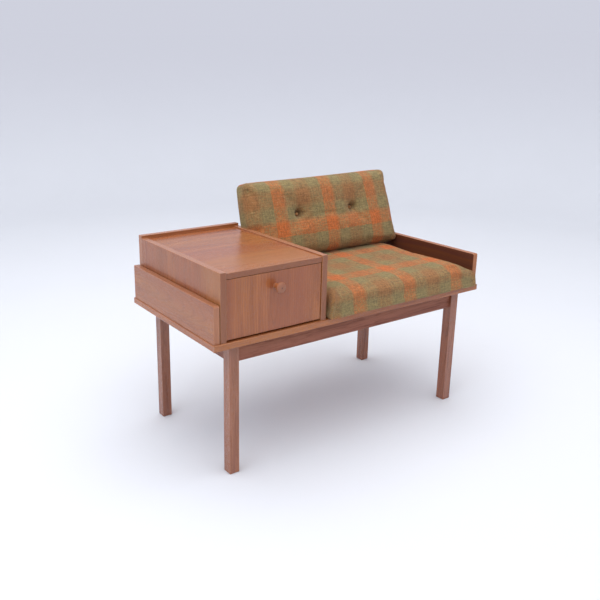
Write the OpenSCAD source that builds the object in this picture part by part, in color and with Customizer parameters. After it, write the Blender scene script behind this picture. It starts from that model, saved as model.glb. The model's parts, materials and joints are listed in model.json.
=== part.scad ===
// Telephone bench in teak: a cushioned seat beside a drawer cabinet, on a frame with four legs.
// Millimetres, +Z up, X along the bench, front towards -Y.
// The origin lies on the floor under the middle of the whole bench.

/* [Bench] */
// Length of the base board, end to end
bench_l = 940; // [900:5:1060]
// Depth of the base board, front to back
bench_d = 454; // [446:2:500]
// Height of the top of the base board above the floor
seat_board_h = 377; // [330:1:430]
// Thickness of the base board, the upstands and the cabinet's upright boards
board_t = 17; // [15:0.5:19]
// Thickness of the solid strips that edge the base board
lipping_t = 4; // [3:0.5:6]
// Radius that eases the edges of the boards
ease_r = 1.2; // [0.8:0.1:2]

/* [Underframe] */
// Side of the square legs
leg_w = 29; // [28:0.5:34]
// Distance of the legs from the ends of the base board
leg_inset_x = 56; // [40:1:90]
// Distance of the legs from the front and rear edges of the base board
leg_inset_y = 22; // [12:1:40]
// Chamfer round the foot of each leg
foot_chamfer = 1.5; // [1:0.5:4]
// Height of the rails between the legs
rail_h = 51; // [40:1:70]
// Thickness of the rails
rail_t = 18; // [16:0.5:19]
// Distance of the rails behind the outer faces of the legs
rail_recess = 8; // [6:0.5:9]
// Thickness of the stub tenons on the rails
tenon_t = 7; // [6:0.5:8]
// Length of the two square sides of a corner block
block_side = 52; // [44:1:70]
// Height of a corner block
block_h = 32; // [25:1:38]

/* [Upstands] */
// Height of the end upstands above the base board
upstand_h = 97; // [60:1:130]
// Distance of the upstands from the ends of the base board
upstand_inset = 3; // [1:0.5:8]
// Distance of the upstands behind the front edge of the base board
upstand_setback = 6; // [3:0.5:20]
// Radius of the upper front corner of the upstands
upstand_corner_r = 6; // [3:0.5:15]
// Distance of the upstands, the back panel and the supports from the rear edge of the base board
rear_inset = 3; // [1:0.5:8]

/* [Cabinet] */
// Width of the cabinet over its two upright boards
cabinet_w = 325; // [300:5:350]
// Height of the upright boards above the base board
cabinet_h = 177; // [160:1:220]
// Gap between the left upstand and the cabinet
cabinet_gap = 1.5; // [1:0.5:4]
// Distance of the upright boards behind the front edge of the base board
cabinet_setback = 5; // [3:0.5:12]
// Distance of the cabinet top and the drawer front behind the edges of the upright boards
face_recess = 3; // [1:0.5:6]
// Thickness of the cabinet top
top_t = 15; // [13:0.5:18]
// Depth of the cabinet top below the upper edges of the upright boards
top_drop = 3.5; // [1:0.5:6]
// Height of the back panel above the upper edges of the upright boards
panel_rise = 7; // [3:0.5:20]

/* [Drawer] */
// Thickness of the drawer front
drawer_front_t = 16; // [15:0.5:20]
// Gap below the drawer front
drawer_gap_below = 4; // [2:0.5:6]
// Gap beside and above the drawer front
drawer_gap = 1.2; // [0.8:0.1:2]
// Distance between the ends of the drawer's sides and the back panel
drawer_rear_gap = 36; // [30:2:96]
// Thickness of the drawer sides and back
drawer_side_t = 11; // [10:0.5:13]
// Thickness of the drawer bottom
drawer_bottom_t = 4; // [3:0.5:6]
// Height of the runners
runner_h = 12; // [9:0.5:16]
// Depth of the runners inside the grooves of the drawer sides
runner_bite = 5; // [4:0.5:6]
// Number of dovetails at each front corner of the drawer
tail_count = 3; // [2:1:3]
// Width of a dovetail at its root
tail_root_w = 22; // [16:1:26]
// Diameter of the knob's head
knob_d = 28; // [24:1:36]
// Distance that the knob stands out from the drawer front
knob_out = 28; // [24:1:34]
// Distance of the knob's centre below the upper edge of the drawer front
knob_drop = 37; // [25:1:60]

/* [Seat cushion] */
// Height of the seat cushion at the middle of its two ends
seat_pad_h = 61; // [45:1:62]
// Rise of the seat cushion's crown above its ends
seat_crown = 11; // [4:1:12]
// Distance that the seat cushion stands out over the front of the base board
seat_overhang = 9; // [4:1:16]
// Distance that its corners sink below its ends
seat_corner_drop = 4; // [0:1:10]

/* [Back cushion] */
// Height of the back cushion along its slope
back_pad_h = 245; // [230:1:260]
// Thickness of the back cushion at its edges
back_pad_t = 50; // [46:1:52]
// Rise of its crown above its edges
back_crown = 12; // [4:1:14]
// Lean of the back cushion from upright, in degrees
recline = 18; // [15:0.5:19]
// Distance of its lower front corner in front of the rear edge of the base board
back_pad_reach = 131; // [128:1:136]
// Height of its lower front corner above the base board
back_pad_lift = 80; // [79:0.5:95]
// Distance that its left side leans in towards the top
back_taper_left = 6; // [0:1:16]
// Distance that its right side leans in towards the top
back_taper_right = 13; // [0:1:16]
// Distance of the two tufts from the lower ends of the cushion
tuft_inset = 174.5; // [153:0.5:198]
// Height of the tufts along the slope
tuft_up = 132; // [120:1:140]
// Depth of a tuft below the edges of the cushion
tuft_depth = 6; // [2:1:16]
// Diameter of a tuft's button
button_d = 19; // [14:1:20]

/* [Back support] */
// Width of a support across the bench
support_w = 22; // [18:1:28]
// Depth of a support on the base board
support_d = 49; // [44:1:52]
// Height of a support's top along the slope of the cushion
support_up = 205; // [180:1:215]
// Distance of the middles of the supports from the ends of the plywood
support_inset = 66; // [42:2:112]
// Thickness of the plywood inside the back cushion
plywood_t = 9; // [6:0.5:12]

/* [Fasteners] */
// Diameter of the wood screws
screw_d = 4; // [3:0.5:5]
// Diameter of the screw heads
screw_head_d = 8; // [7:0.5:9]
// Diameter of the dowels
dowel_d = 7; // [6:0.5:8]

/* [Hidden] */

// Finishes
teak = [0.66, 0.44, 0.33];
teak_light = [0.74, 0.53, 0.40];
teak_dark = [0.58, 0.38, 0.28];
beech = [0.80, 0.66, 0.48];
hardboard = [0.45, 0.33, 0.24];
steel = [0.70, 0.70, 0.68];
tweed = [0.52, 0.45, 0.28];
tweed_orange = [0.74, 0.42, 0.24];

// Clearances: round a glued or housed joint, round a runner, and beside a cushion
fit = 0.2;
slide_fit = 0.3;
pad_gap = 0.6;
// Overrun of every cut past the face it opens
overrun = 1;
$fn = 48;

// The knob is the foremost piece and the base board the rearmost, unless a setting changes that
lean_sin = sin(recline);
lean_cos = cos(recline);
face_setback = cabinet_setback + face_recess;
front_reach = max(knob_out - face_setback, seat_overhang);
rear_reach = max(back_pad_t * lean_cos + back_pad_h * lean_sin - back_pad_reach, 0);
front_y = (front_reach - bench_d - rear_reach) / 2;
back_y = front_y + bench_d;
left_x = -bench_l / 2;
under_z = seat_board_h - board_t;
rear_face_y = back_y - rear_inset;

// Underframe
tenon_cheek = (rail_t - tenon_t) / 2;
tenon_wall = 1;
tenon_l = leg_w - rail_recess - tenon_cheek - tenon_t - tenon_wall;
tenon_shoulder = 12;
tenon_h = rail_h - tenon_shoulder;
rail_z = under_z - rail_h;
leg_x = left_x + leg_inset_x;
leg_y = front_y + leg_inset_y;
frame_mid_y = front_y + bench_d / 2;
rail_x_l = -2 * (leg_x + leg_w);
rail_y_l = bench_d - 2 * (leg_inset_y + leg_w);
block_notch = leg_w - rail_recess - rail_t;
block_x = leg_x + rail_recess + rail_t;
block_y = leg_y + rail_recess + rail_t;
block_hole_share = 0.3;

// Upstands
upstand_x = left_x + upstand_inset;
upstand_y = front_y + upstand_setback;
upstand_l = rear_face_y - upstand_y;

// Cabinet
cabinet_x = upstand_x + board_t + cabinet_gap;
inner_x = cabinet_x + board_t;
inner_w = cabinet_w - 2 * board_t;
divider_x = inner_x + inner_w;
panel_y = rear_face_y - board_t;
upright_y = front_y + cabinet_setback;
upright_l = panel_y - upright_y;
top_y = front_y + face_setback;
top_l = panel_y - top_y;
top_z = seat_board_h + cabinet_h - top_drop - top_t;

// Drawer
drawer_y = top_y;
drawer_z = seat_board_h + drawer_gap_below;
drawer_front_h = top_z - drawer_gap - drawer_z;
drawer_mid_x = inner_x + inner_w / 2;
drawer_end_y = panel_y - drawer_rear_gap;
drawer_back_inner_y = drawer_y + drawer_front_t;
side_gap = 1.5;
side_rise = 6;
side_drop = 12;
side_x = inner_x + side_gap;
side_z = drawer_z + side_rise;
side_h = drawer_front_h - side_rise - side_drop;
lap_t = 5;
tail_l = drawer_front_t - lap_t;
tail_slope_share = 0.16;
tail_pitch = side_h / tail_count;
runner_level_share = 0.55;
runner_setback = 24;
runner_t = side_gap + runner_bite;
runner_y = drawer_back_inner_y + runner_setback;
runner_l = drawer_end_y - runner_y;
runner_z = side_z + side_h * runner_level_share;
housing_t = 4;
bottom_rise = 7;
bottom_z = side_z + bottom_rise;
back_slab_inset = 14;
slab_x = side_x + drawer_side_t - housing_t;
slab_w = 2 * (drawer_mid_x - slab_x);
knob_z = drawer_z + drawer_front_h - knob_drop;

// Back cushion, in the frame of its slope: across, depth behind its front plane, and up
seat_x0 = divider_x + board_t + pad_gap;
seat_x1 = -upstand_x - board_t - pad_gap;
seat_mid_x = (seat_x0 + seat_x1) / 2;
seat_w = seat_x1 - seat_x0;
back_gap_left = 1;
back_gap_right = 5;
back_pad_w = seat_w - back_gap_left - back_gap_right;
back_mid_x = seat_x0 + back_gap_left + back_pad_w / 2;
slope_y = back_y - back_pad_reach;
slope_z = seat_board_h + back_pad_lift;
plywood_margin = 18;
plywood_corner_r = 18;
plywood_w = back_pad_w - 2 * max(back_taper_left, back_taper_right) - 2 * plywood_margin;
plywood_h = back_pad_h - 2 * plywood_margin;

// Back support
support_x = plywood_w / 2 - support_inset;
support_y = rear_face_y - support_d;
support_round_r = 10;

// Seat cushion
seat_rear_gap = 4;
seat_y = front_y - seat_overhang;
seat_d = support_y - seat_rear_gap - seat_y;

// Screws, dowels and where they stand along a board, as shares of its length
pair_shares = [0.18, 0.82];
foot_shares = [0.28, 0.72];
support_screw_shares = [0.58, 0.88];
base_screw_l = 38;
block_screw_l = 42;
panel_screw_l = 34;
runner_screw_l = 16;
plywood_screw_l = 28;
plywood_bite = 6;
knob_screw_d = 4;
knob_screw_l = 27;
dowel_l = 24;

// Corners of an outline as shares of the easing radius: right top, left top, left bottom, right
// bottom. Across X the front of a board is left, and in plan it is at the bottom
square_shares = [0, 0, 0, 0];
all_shares = [1, 1, 1, 1];
top_shares = [1, 1, 0, 0];
bottom_shares = [0, 0, 1, 1];
left_shares = [0, 1, 1, 0];
left_top_shares = [0, 1, 0, 0];

// Outline of w by h from the origin, each corner rounded by its share of r
function eased(w, h, shares, r = ease_r) = [
    for (i = [0 : 3])
        let (
            r_here = r * shares[i],
            x = i == 0 || i == 3 ? w - r_here : r_here,
            y = i < 2 ? h - r_here : r_here)
        for (s = [0 : (r_here > 0 ? 4 : 0)])
            let (a = 90 * i + 22.5 * s)
            [x + r_here * cos(a), y + r_here * sin(a)]
];

// Board with eased edges; the outlines across X, Y and Z each have their own
module board(size, x_shares = square_shares, y_shares = square_shares, z_shares = square_shares) {
    intersection() {
        rotate([90, 0, 90])
            linear_extrude(size[0]) polygon(eased(size[1], size[2], x_shares));
        translate([0, size[1], 0]) rotate([90, 0, 0])
            linear_extrude(size[1]) polygon(eased(size[0], size[2], y_shares));
        linear_extrude(size[2]) polygon(eased(size[0], size[1], z_shares));
    }
}

// Countersunk wood screw, its head at z = 0 and its tip up
module wood_screw(l) {
    cylinder(h = (screw_head_d - screw_d) / 2, d1 = screw_head_d, d2 = screw_d);
    cylinder(h = l, d = screw_d);
}

// Hole that a wood screw fills, open below its head
module screw_hole(l) {
    wood_screw(l);
    translate([0, 0, -overrun]) cylinder(h = overrun, d = screw_head_d);
}

// Underframe

// Copy of a shape made for the left front corner: right and rear are 0 or 1
module at_corner(right, rear) {
    translate([0, frame_mid_y, 0])
        mirror([right, 0, 0])
            mirror([0, rear, 0])
                translate([0, -frame_mid_y, 0])
                    children();
}

module foot_cut() {
    translate([-overrun, 0, 0]) rotate([90, 0, 90])
        linear_extrude(leg_w + 2 * overrun)
            polygon([
                [-overrun, foot_chamfer + overrun], [-overrun, -overrun],
                [foot_chamfer + overrun, -overrun]]);
}

// Square leg with a chamfered foot and a mortise for each of its two rails
module leg() {
    slot_t = tenon_t + 2 * fit;
    slot_l = tenon_l + fit;
    slot_h = tenon_h + fit;
    slot_start = rail_recess + tenon_cheek - fit;
    color(teak_dark) translate([leg_x, leg_y, 0]) difference() {
        board([leg_w, leg_w, under_z], z_shares = all_shares);
        for (turn = [0 : 3])
            translate([leg_w / 2, leg_w / 2, 0]) rotate([0, 0, 90 * turn])
                translate([-leg_w / 2, -leg_w / 2, 0]) foot_cut();
        translate([leg_w - slot_l, slot_start, under_z - slot_h])
            cube([slot_l + overrun, slot_t, slot_h + overrun]);
        translate([slot_start, leg_w - slot_l, under_z - slot_h])
            cube([slot_t, slot_l + overrun, slot_h + overrun]);
    }
}

// Front rail with a stub tenon at each end
module rail_long() {
    color(teak) translate([leg_x + leg_w, leg_y + rail_recess, rail_z]) {
        board([rail_x_l, rail_t, rail_h], x_shares = bottom_shares);
        translate([-tenon_l, tenon_cheek, tenon_shoulder])
            cube([rail_x_l + 2 * tenon_l, tenon_t, tenon_h]);
    }
}

// Left rail with a stub tenon at each end
module rail_short() {
    color(teak) translate([leg_x + rail_recess, leg_y + leg_w, rail_z]) {
        board([rail_t, rail_y_l, rail_h], y_shares = bottom_shares);
        translate([tenon_cheek, -tenon_l, tenon_shoulder])
            cube([tenon_t, rail_y_l + 2 * tenon_l, tenon_h]);
    }
}

module at_block_hole() {
    translate([
        block_x + block_side * block_hole_share,
        block_y + block_side * block_hole_share,
        under_z - block_h])
        children();
}

// Glued block between two rails, notched round the leg
module block() {
    color(beech) difference() {
        translate([block_x, block_y, under_z - block_h])
            linear_extrude(block_h)
                polygon([
                    [block_side, 0], [0, block_side],
                    [0, block_notch], [block_notch, block_notch], [block_notch, 0]]);
        at_block_hole() screw_hole(block_screw_l);
    }
}

module at_block_holes() {
    for (right = [0, 1], rear = [0, 1])
        at_corner(right, rear) at_block_hole() children();
}

module block_screws() {
    color(steel) at_block_holes() wood_screw(block_screw_l);
}

// Base board

// Places of the screws that rise through the base board into what stands on it
module at_upstand_screws() {
    for (right = [0, 1], share = pair_shares)
        mirror([right, 0, 0])
            translate([upstand_x + board_t / 2, upstand_y + share * upstand_l, under_z])
                children();
}

module at_cabinet_screws() {
    for (x = [cabinet_x, divider_x], share = pair_shares)
        translate([x + board_t / 2, upright_y + share * upright_l, under_z]) children();
}

module at_support_screws() {
    for (side = [-1, 1], share = foot_shares)
        translate([
            back_mid_x + side * support_x,
            support_y + share * support_d,
            under_z])
            children();
}

module base_board() {
    color(teak) difference() {
        translate([left_x + lipping_t, front_y + lipping_t, under_z])
            cube([bench_l - 2 * lipping_t, bench_d - lipping_t, board_t]);
        at_upstand_screws() screw_hole(base_screw_l);
        at_cabinet_screws() screw_hole(base_screw_l);
        at_support_screws() screw_hole(base_screw_l);
        at_block_holes() screw_hole(block_screw_l);
    }
}

// Lippings, rounded on their outer edges
lipping_r = lipping_t / 2;

module base_lipping_front() {
    color(teak_light) translate([left_x, front_y, under_z])
        rotate([90, 0, 90])
            linear_extrude(bench_l) polygon(eased(lipping_t, board_t, left_shares, lipping_r));
}

module base_lipping_left() {
    color(teak_light) translate([left_x, back_y, under_z])
        rotate([90, 0, 0])
            linear_extrude(bench_d - lipping_t)
                polygon(eased(lipping_t, board_t, left_shares, lipping_r));
}

module base_lipping_right() {
    mirror([1, 0, 0]) base_lipping_left();
}

// Upstands

// Left upstand: one outline rounds its upper front corner, the board eases its edges
module upstand_left() {
    color(teak) difference() {
        translate([upstand_x, upstand_y, seat_board_h]) intersection() {
            rotate([90, 0, 90]) linear_extrude(board_t)
                polygon(eased(upstand_l, upstand_h, left_top_shares, upstand_corner_r));
            board([board_t, upstand_l, upstand_h], y_shares = top_shares, z_shares = bottom_shares);
        }
        at_upstand_screws() screw_hole(base_screw_l);
    }
}

module upstand_right() {
    mirror([1, 0, 0]) upstand_left();
}

module upstand_screws() {
    color(steel) at_upstand_screws() wood_screw(base_screw_l);
}

// Cabinet

// Places of the dowels that hold the cabinet top between the upright boards
module at_dowels() {
    for (x = [inner_x, divider_x], share = pair_shares)
        translate([x - dowel_l / 2, top_y + share * top_l, top_z + top_t / 2])
            rotate([0, 90, 0])
                children();
}

module dowel() {
    cylinder(h = dowel_l, d = dowel_d);
}

// Places of the screws through the back panel into the upright boards
module at_panel_screws() {
    for (x = [cabinet_x, divider_x], share = pair_shares)
        translate([x + board_t / 2, rear_face_y, seat_board_h + share * cabinet_h])
            rotate([90, 0, 0])
                children();
}

// Copy of a shape made for the left side of the drawer: right is 0 or 1
module at_side(right) {
    translate([drawer_mid_x, 0, 0])
        mirror([right, 0, 0])
            translate([-drawer_mid_x, 0, 0])
                children();
}

module at_runner_screws(right) {
    at_side(right)
        for (share = pair_shares)
            translate([inner_x + runner_t, runner_y + share * runner_l, runner_z])
                rotate([0, -90, 0])
                    children();
}

module upright_board(x, right) {
    color(teak_dark) difference() {
        translate([x, upright_y, seat_board_h])
            board([board_t, upright_l, cabinet_h], y_shares = top_shares, z_shares = bottom_shares);
        at_cabinet_screws() screw_hole(base_screw_l);
        at_panel_screws() screw_hole(panel_screw_l);
        at_dowels() dowel();
        at_runner_screws(right) screw_hole(runner_screw_l);
    }
}

// Top with its front edge eased, set between the upright boards
module cabinet_top() {
    color(teak) difference() {
        translate([inner_x, top_y, top_z])
            board([inner_w, top_l, top_t], x_shares = left_shares);
        at_dowels() dowel();
    }
}

module cabinet_back() {
    color(teak) difference() {
        translate([cabinet_x, panel_y, seat_board_h])
            board([cabinet_w, board_t, cabinet_h + panel_rise],
                x_shares = top_shares, y_shares = top_shares);
        at_panel_screws() screw_hole(panel_screw_l);
    }
}

module cabinet_screws() {
    color(steel) at_cabinet_screws() wood_screw(base_screw_l);
}

module cabinet_dowels() {
    color(beech) at_dowels() dowel();
}

module cabinet_back_screws() {
    color(steel) at_panel_screws() wood_screw(panel_screw_l);
}

module drawer_runner(right) {
    color(beech) difference() {
        at_side(right)
            translate([inner_x, runner_y, runner_z - runner_h / 2])
                cube([runner_t, runner_l, runner_h]);
        at_runner_screws(right) screw_hole(runner_screw_l);
    }
}

module runner_screws() {
    color(steel)
        for (right = [0, 1])
            at_runner_screws(right) wood_screw(runner_screw_l);
}

// Drawer

// Dovetails of the left side, widest at the front; grown by a fit they are their sockets
module tails(grow) {
    length = tail_l + overrun;
    for (i = [1 : tail_count]) {
        root = tail_root_w / 2 + grow;
        translate([side_x - grow, drawer_y + lap_t, side_z + (i - 1 / 2) * tail_pitch])
            rotate([90, 0, 90]) linear_extrude(drawer_side_t + 2 * grow)
                polygon([
                    [-grow, -root - tail_l * tail_slope_share], [length, -root],
                    [length, root], [-grow, root + tail_l * tail_slope_share]]);
    }
}

// Bottom, resting on the lower faces of its grooves
module bottom_slab(grow) {
    slab_y = drawer_back_inner_y - housing_t;
    translate([slab_x - grow, slab_y - grow, bottom_z])
        cube([
            slab_w + 2 * grow,
            drawer_end_y - slab_y + 2 * grow,
            drawer_bottom_t + grow]);
}

// Back, standing on the bottom
module back_slab(grow) {
    slab_y = drawer_end_y - back_slab_inset - drawer_side_t;
    slab_z = bottom_z + drawer_bottom_t;
    translate([slab_x - grow, slab_y - grow, slab_z])
        cube([slab_w + 2 * grow, drawer_side_t + 2 * grow, side_z + side_h - slab_z + grow]);
}

module at_knob() {
    translate([drawer_mid_x, drawer_y, knob_z]) rotate([90, 0, 0]) children();
}

// Front with sockets for the dovetails, a groove for the bottom and a hole for the knob's screw
module drawer_front() {
    color(teak) difference() {
        translate([inner_x + drawer_gap, drawer_y, drawer_z])
            board([inner_w - 2 * drawer_gap, drawer_front_t, drawer_front_h],
                x_shares = left_shares, z_shares = bottom_shares);
        for (right = [0, 1]) at_side(right) tails(fit);
        bottom_slab(fit);
        at_knob() translate([0, 0, -drawer_front_t - overrun])
            cylinder(h = drawer_front_t + 2 * overrun, d = knob_screw_d);
    }
}

// Left side with its dovetails, the groove for the runner and the housings for bottom and back
module drawer_side() {
    color(beech) difference() {
        union() {
            translate([side_x, drawer_back_inner_y, side_z])
                board([drawer_side_t, drawer_end_y - drawer_back_inner_y, side_h],
                    y_shares = top_shares);
            tails(0);
        }
        translate([side_x - overrun, runner_y - slide_fit, runner_z - runner_h / 2 - slide_fit])
            cube([
                runner_bite + slide_fit + overrun,
                runner_l + slide_fit + overrun,
                runner_h + 2 * slide_fit]);
        bottom_slab(fit);
        back_slab(fit);
    }
}

module drawer_back() {
    color(beech) back_slab(0);
}

module drawer_bottom() {
    color(hardboard) bottom_slab(0);
}

// Turned knob: a foot on the drawer front, a hollowed neck and a domed head
knob_foot_r = 8;
knob_foot_h = 1.5;
knob_neck_r = 6;
knob_neck_share = 0.6;
knob_head_t = 10;
knob_edge_r = 3;
knob_dome = 2;
knob_hole_l = 12;

knob_under_z = knob_out - knob_head_t;
knob_rim_z = knob_out - knob_dome - knob_edge_r;
knob_flat_r = knob_d / 2 - knob_edge_r;
knob_neck_z = knob_under_z * knob_neck_share;

// Outline in radius and height: the neck draws in, then flares under the head
function knob_outline() = concat(
    [[0, 0], [knob_foot_r, 0], [knob_foot_r, knob_foot_h]],
    [for (s = [1 : 5]) [
        knob_foot_r + (knob_neck_r - knob_foot_r) * sin(18 * s),
        knob_foot_h + (knob_neck_z - knob_foot_h) * (1 - cos(18 * s))]],
    [for (s = [1 : 6]) [
        knob_neck_r + (knob_flat_r - knob_neck_r) * (1 - cos(15 * s)),
        knob_neck_z + (knob_under_z - knob_neck_z) * sin(15 * s)]],
    [for (s = [-4 : 4]) [
        knob_flat_r + knob_edge_r * cos(22.5 * s),
        (knob_under_z + knob_rim_z + knob_edge_r) / 2
            + (knob_rim_z + knob_edge_r - knob_under_z) / 2 * sin(22.5 * s)]],
    [for (s = [1 : 5]) [
        knob_flat_r * cos(18 * s),
        knob_out - knob_dome + knob_dome * sin(18 * s)]]
);

module drawer_knob() {
    color(teak_light) at_knob() difference() {
        rotate_extrude() polygon(knob_outline());
        translate([0, 0, -overrun]) cylinder(h = knob_hole_l + overrun, d = knob_screw_d);
    }
}

// Round-headed screw from inside the drawer
module knob_screw() {
    head_h = knob_screw_d / 2;
    color(steel) at_knob() translate([0, 0, -drawer_front_t]) {
        translate([0, 0, -head_h]) cylinder(h = head_h, d = 2 * knob_screw_d);
        cylinder(h = knob_screw_l, d = knob_screw_d);
    }
}

// Cushions

// Rings down the edge of a cushion. Each has the shares of the bulge and of the edge radius
// that move it in, then the shares of the height and of the edge radius that place it
ring_shares = [[1, 0.13, 1, -0.27], [1, 0, 1, -1.1], [0, 0, 0.5, 0], [1, 0, 0, 0.7], [1, 0.6, 0, 0]];
// Place of the middle line through a rounded corner
corner_share = 0.35;
// The higher this power, the nearer the edges a cushion's surface is drawn in
edge_pull_power = 4;
// The higher this power, the flatter the middle of the crown
crown_power = 3;
// The higher this power, the steeper the walls of a tuft
tuft_power = 1.3;

// Numbers from a up to b, without b, in n even steps
function steps(a, b, n) = [for (i = [0 : n - 1]) a + (b - a) * i / n];

// Lines across a cushion of the given half width, close together at its two ends
function lines(half, r, inner) = concat(
    [-half, -half + r * corner_share],
    inner,
    [half - r, half - r * corner_share, half]
);

// Two triangles for each step between two rings of n points that start at a and b
function band(a, b, n) = [
    for (k = [0 : n - 1])
        let (m = (k + 1) % n)
        for (f = [[a + k, a + m, b + k], [a + m, b + m, b + k]]) f
];

// Cushion on its back face with its crown up, w across and h from -Y to +Y.
// shape is [crown, share of the crown at the -Y and +Y edges, drop of the corners,
// corner radius, [left taper, right taper], draw of the sides, edge radius, bulge of the edges].
// xs and ys are the lines of its grid, and tufts the middles of its tufts.
// tuft is [half side of a tuft's flat, its reach, its height].
// pocket is [half width, half height, depth, corner radius] of a pocket in the back.
module pad(w, h, t, shape, xs, ys, tufts = [], tuft = [0, 1, 0], pocket = []) {
    half_w = w / 2;
    half_h = h / 2;
    crown = shape[0];
    edge_share = shape[1];
    corner_drop = shape[2];
    corner_r = shape[3];
    tapers = shape[4];
    draw = shape[5];
    edge_r = shape[6];
    bulge = shape[7];
    columns = len(xs);
    rows = len(ys);
    pocketed = len(pocket) > 0;

    // Bend the square corners of a rectangle into quarter circles
    function rounded(x, y, bound_x, bound_y, r) =
        let (dx = abs(x) - bound_x + r, dy = abs(y) - bound_y + r)
        dx <= 0 || dy <= 0 ? [x, y] :
        let (pull = max(dx, dy) / norm([dx, dy]))
        [sign(x) * (bound_x - r + dx * pull), sign(y) * (bound_y - r + dy * pull)];

    // Place of a grid point when the outline lies inset from the cushion's own
    function plan(x, y, inset) =
        let (
            p = rounded(x, y, half_w, half_h, corner_r),
            taper = x < 0 ? tapers[0] : tapers[1],
            side = half_w - inset - taper * (y / half_h + 1) / 2 - draw * (1 - pow(y / half_h, 2)),
            end = half_h - inset - draw * (1 - pow(x / half_w, 2)))
        [
            p[0] * (1 - (1 - side / half_w) * pow(abs(p[0]) / half_w, edge_pull_power)),
            p[1] * (1 - (1 - end / half_h) * pow(abs(p[1]) / half_h, edge_pull_power))];

    function height(x, y) =
        let (across = pow(abs(x / half_w), crown_power), along = pow(abs(y / half_h), crown_power))
        t + crown * (1 - across) * (1 - along * (1 - edge_share)) - corner_drop * across * along;

    // Reach of the tufts at a place, 1 on their flats
    function tufted(x, y) = len(tufts) == 0 ? 0 :
        max([for (c = tufts)
            let (d = norm([max(abs(x - c[0]) - tuft[0], 0), max(abs(y - c[1]) - tuft[0], 0)]))
            exp(-pow(d / tuft[1], tuft_power))]);

    top = [for (x = xs, y = ys)
        let (p = plan(x, y, edge_r + bulge), sunk = tufted(x, y))
        [p[0], p[1], height(x, y) * (1 - sunk) + tuft[2] * sunk]];

    // Numbers of the grid's points round its rim, and where they lie
    rim = concat(
        [for (i = [0 : columns - 2]) i * rows],
        [for (j = [0 : rows - 2]) (columns - 1) * rows + j],
        [for (i = [columns - 1 : -1 : 1]) i * rows + rows - 1],
        [for (j = [rows - 1 : -1 : 1]) j]);
    rim_xy = [for (id = rim) [xs[floor(id / rows)], ys[id % rows]]];
    rim_n = len(rim);

    sides = [for (ring = ring_shares, place = rim_xy)
        let (p = plan(place[0], place[1], ring[0] * bulge + ring[1] * edge_r))
        [p[0], p[1], ring[2] * height(place[0], place[1]) + ring[3] * edge_r]];

    walls = [for (z = pocketed ? [0, pocket[2]] : [], place = rim_xy)
        let (p = rounded(
            place[0] * pocket[0] / half_w, place[1] * pocket[1] / half_h,
            pocket[0], pocket[1], pocket[3]))
        [p[0], p[1], z]];

    first = columns * rows;
    last = first + len(sides) + len(walls) - rim_n;
    top_faces = [for (i = [0 : columns - 2], j = [0 : rows - 2])
        let (a = i * rows + j, b = a + rows)
        for (f = [[a, a + 1, b + 1], [a, b + 1, b]]) f];
    rim_faces = [for (k = [0 : rim_n - 1])
        let (m = (k + 1) % rim_n)
        for (f = [[rim[k], rim[m], first + k], [rim[m], first + m, first + k]]) f];
    side_faces = [for (start = [first : rim_n : last - 1]) each band(start, start + rim_n, rim_n)];
    floor_faces = [for (k = [0 : rim_n - 1]) [last + k, last + (k + 1) % rim_n, last + rim_n]];

    polyhedron(
        points = concat(top, sides, walls, [[0, 0, pocketed ? pocket[2] : 0]]),
        faces = concat(top_faces, rim_faces, side_faces, floor_faces),
        convexity = 6);
}

seat_edge_share = 0.45;
seat_corner_r = 18;
seat_draw = 3;
seat_edge_r = 12;
seat_bulge = 3;

module seat_cushion() {
    color(tweed) translate([seat_mid_x, seat_y + seat_d / 2, seat_board_h])
        pad(seat_w, seat_d, seat_pad_h,
            [seat_crown, seat_edge_share, seat_corner_drop, seat_corner_r, [0, 0],
                seat_draw, seat_edge_r, seat_bulge],
            lines(seat_w / 2, seat_corner_r,
                steps(seat_corner_r - seat_w / 2, seat_w / 2 - seat_corner_r, 12)),
            lines(seat_d / 2, seat_corner_r,
                steps(seat_corner_r - seat_d / 2, seat_d / 2 - seat_corner_r, 9)));
}

// Frame of the back cushion's slope: X across, Y deeper, Z up the slope from the lower front edge
module on_slope() {
    translate([back_mid_x, slope_y, slope_z]) rotate([-recline, 0, 0]) children();
}

back_edge_share = 0;
back_corner_drop = 3;
back_corner_r = 12;
back_draw = 2;
back_edge_r = 10;
back_bulge = 2;
tuft_reach = 16;
tuft_x = back_pad_w / 2 - tuft_inset;
tuft_y = tuft_up - back_pad_h / 2;
tuft_half = button_d / 2 + fit;
tuft_near = 24;
tuft_far = 42;
tuft_line_offsets = [-tuft_far, -tuft_near, -tuft_half, tuft_half, tuft_near];
pocket_r = 8;

// Lines round a tuft at c
function tuft_lines(c) = [for (offset = tuft_line_offsets) c + offset];

module back_cushion() {
    far_x = back_pad_w / 2 - back_corner_r;
    far_y = back_pad_h / 2 - back_corner_r;
    outer_x = tuft_x + tuft_far;
    color(tweed) on_slope()
        translate([0, back_pad_t, back_pad_h / 2]) rotate([90, 0, 0])
            pad(back_pad_w, back_pad_h, back_pad_t,
                [back_crown, back_edge_share, back_corner_drop, back_corner_r,
                    [back_taper_left, back_taper_right], back_draw, back_edge_r, back_bulge],
                lines(back_pad_w / 2, back_corner_r, concat(
                    steps(-far_x, -outer_x, 4), tuft_lines(-tuft_x),
                    steps(tuft_far - tuft_x, tuft_x - tuft_far, 5),
                    tuft_lines(tuft_x), steps(outer_x, far_x, 4))),
                lines(back_pad_h / 2, back_corner_r, concat(
                    steps(-far_y, tuft_y - tuft_far, 3), tuft_lines(tuft_y),
                    steps(tuft_y + tuft_far, far_y, 3))),
                [[-tuft_x, tuft_y], [tuft_x, tuft_y]],
                [tuft_half, tuft_reach, back_pad_t - tuft_depth],
                [plywood_w / 2 + fit, plywood_h / 2 + fit, plywood_t, pocket_r]);
}

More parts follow.
